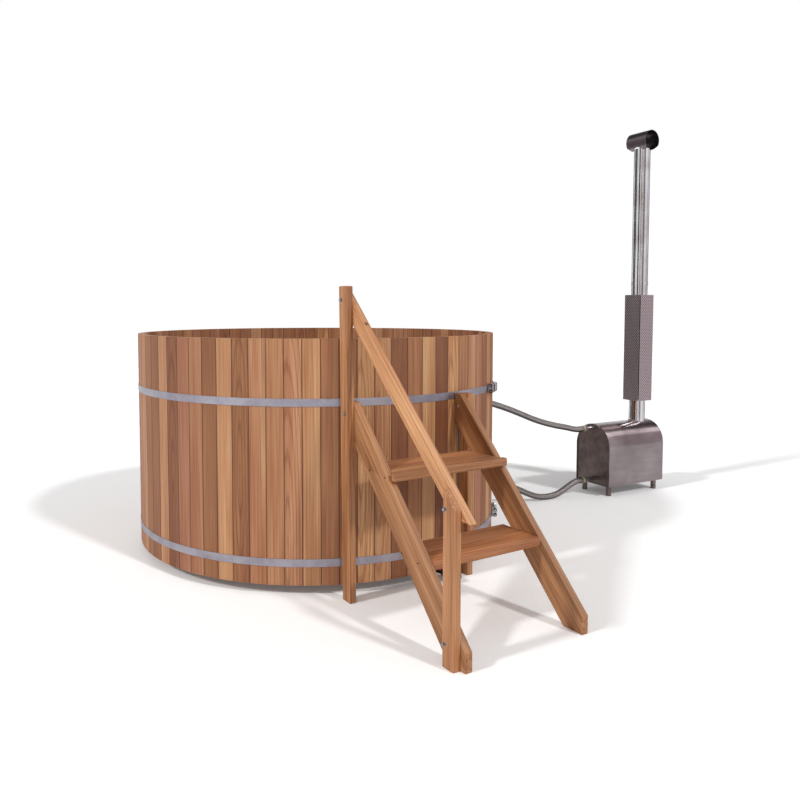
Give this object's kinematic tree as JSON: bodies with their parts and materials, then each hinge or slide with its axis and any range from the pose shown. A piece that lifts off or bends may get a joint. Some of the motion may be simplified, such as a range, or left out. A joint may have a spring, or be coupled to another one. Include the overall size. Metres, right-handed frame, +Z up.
{
  "type": "wood fired hot tub",
  "caption": "Round cedar stave hot tub with steel hoops, boarding ladder with handrail, and an outside wood stove with chimney joined by two ribbed hoses.",
  "frame": {"origin": "on the ground under the middle of the tub", "axes": "+X to the right towards the stove in the picture, +Y away from the camera, +Z up"},
  "size_m": [3.7163, 3.0726, 2.7361],
  "materials": {
    "cedar_light": "planed red cedar, varied from board to board",
    "floor_cedar": "planed red cedar",
    "bench_cedar": "planed red cedar",
    "hoop_steel": "dull galvanised band",
    "lug_steel": "bright cast stainless",
    "dark_nuts": "dark steel",
    "stainless": "satin stainless",
    "strainer_plastic": "white moulded plastic",
    "gasket_rubber": "black rubber",
    "coupling_brass": "dull yellow brass",
    "drain_plastic": "black plastic",
    "lever_red": "red plastic",
    "ladder_cedar": "oiled red cedar",
    "rail_cedar": "oiled red cedar",
    "zinc": "zinc plated",
    "stove_steel": "dark brushed stainless with lumpy welds",
    "flue_steel": "bright stainless",
    "guard_steel": "finely perforated stainless",
    "black_iron": "black",
    "hose_steel": "ribbed stainless"
  },
  "bodies": {
    "tub_and_stove": {"front_staves": "cedar_light", "right_staves": "cedar_light", "back_staves": "cedar_light", "left_staves": "cedar_light", "floor_boards": "floor_cedar", "centre_joist": "floor_cedar", "side_joists": "floor_cedar", "upper_hoop": "hoop_steel", "lower_hoop": "hoop_steel", "hoop_lugs": "lug_steel", "draw_rods": "lug_steel", "rod_nuts": "dark_nuts", "bench_seats": "bench_cedar", "bench_supports": "bench_cedar", "port_bodies": "stainless", "port_gaskets": "gasket_rubber", "port_nuts": "stainless", "port_strainers": "strainer_plastic", "tub_hose_couplings": "coupling_brass", "drain_flange": "stainless", "drain_elbow": "drain_plastic", "drain_pipe": "drain_plastic", "drain_valve": "drain_plastic", "drain_spout": "drain_plastic", "left_stringer": "ladder_cedar", "right_stringer": "ladder_cedar", "upper_tread": "rail_cedar", "lower_tread": "rail_cedar", "tall_post": "ladder_cedar", "short_post": "ladder_cedar", "rear_leg": "ladder_cedar", "handrail": "rail_cedar", "ladder_bolts": "zinc", "ladder_nuts": "zinc", "tread_screws": "dark_nuts", "stove_shell": "stove_steel", "port_end_plate": "stove_steel", "door_end_plate": "stove_steel", "firebox": "stove_steel", "stove_feet": "stove_steel", "stove_stubs": "stainless", "stove_hose_couplings": "coupling_brass", "flue_collar": "stove_steel", "lower_chimney": "flue_steel", "chimney_ring": "flue_steel", "upper_chimney": "flue_steel", "tub_side_guard": "guard_steel", "outer_guard": "guard_steel", "guard_spacers": "stainless", "cowl": "flue_steel", "grate": "black_iron", "hinge_knuckles": "stove_steel", "hinge_pins": "stainless", "upper_hose": "hose_steel", "lower_hose": "hose_steel"},
    "fire_door": {"stove_door": "stove_steel"},
    "latch": {"door_latch": "black_iron"},
    "ash_box": {"ash_drawer": "stove_steel"},
    "drain_tap": {"drain_ball": "stainless", "drain_lever": "lever_red"}
  },
  "joints": [
    {"name": "fire_door_hinge", "type": "hinge", "parent": "tub_and_stove", "child": "fire_door", "pos_m": [2.63896, 0.90071, 0.29], "axis": [0, 0, -1], "range_deg": [0, 110]},
    {"name": "latch_turn", "type": "hinge", "parent": "fire_door", "child": "latch", "pos_m": [2.53176, 1.12215, 0.29], "axis": [0.9062, 0.4229, 0], "range_deg": [-60, 0]},
    {"name": "ash_drawer_slide", "type": "slide", "parent": "tub_and_stove", "child": "ash_box", "axis": [0.9062, 0.4229, 0], "range_m": [0, 0.35]},
    {"name": "drain_tap_turn", "type": "hinge", "parent": "tub_and_stove", "child": "drain_tap", "pos_m": [0.6612, -0.89631, 0.032], "axis": [0, 0, 1], "range_deg": [0, 90]}
  ]
}
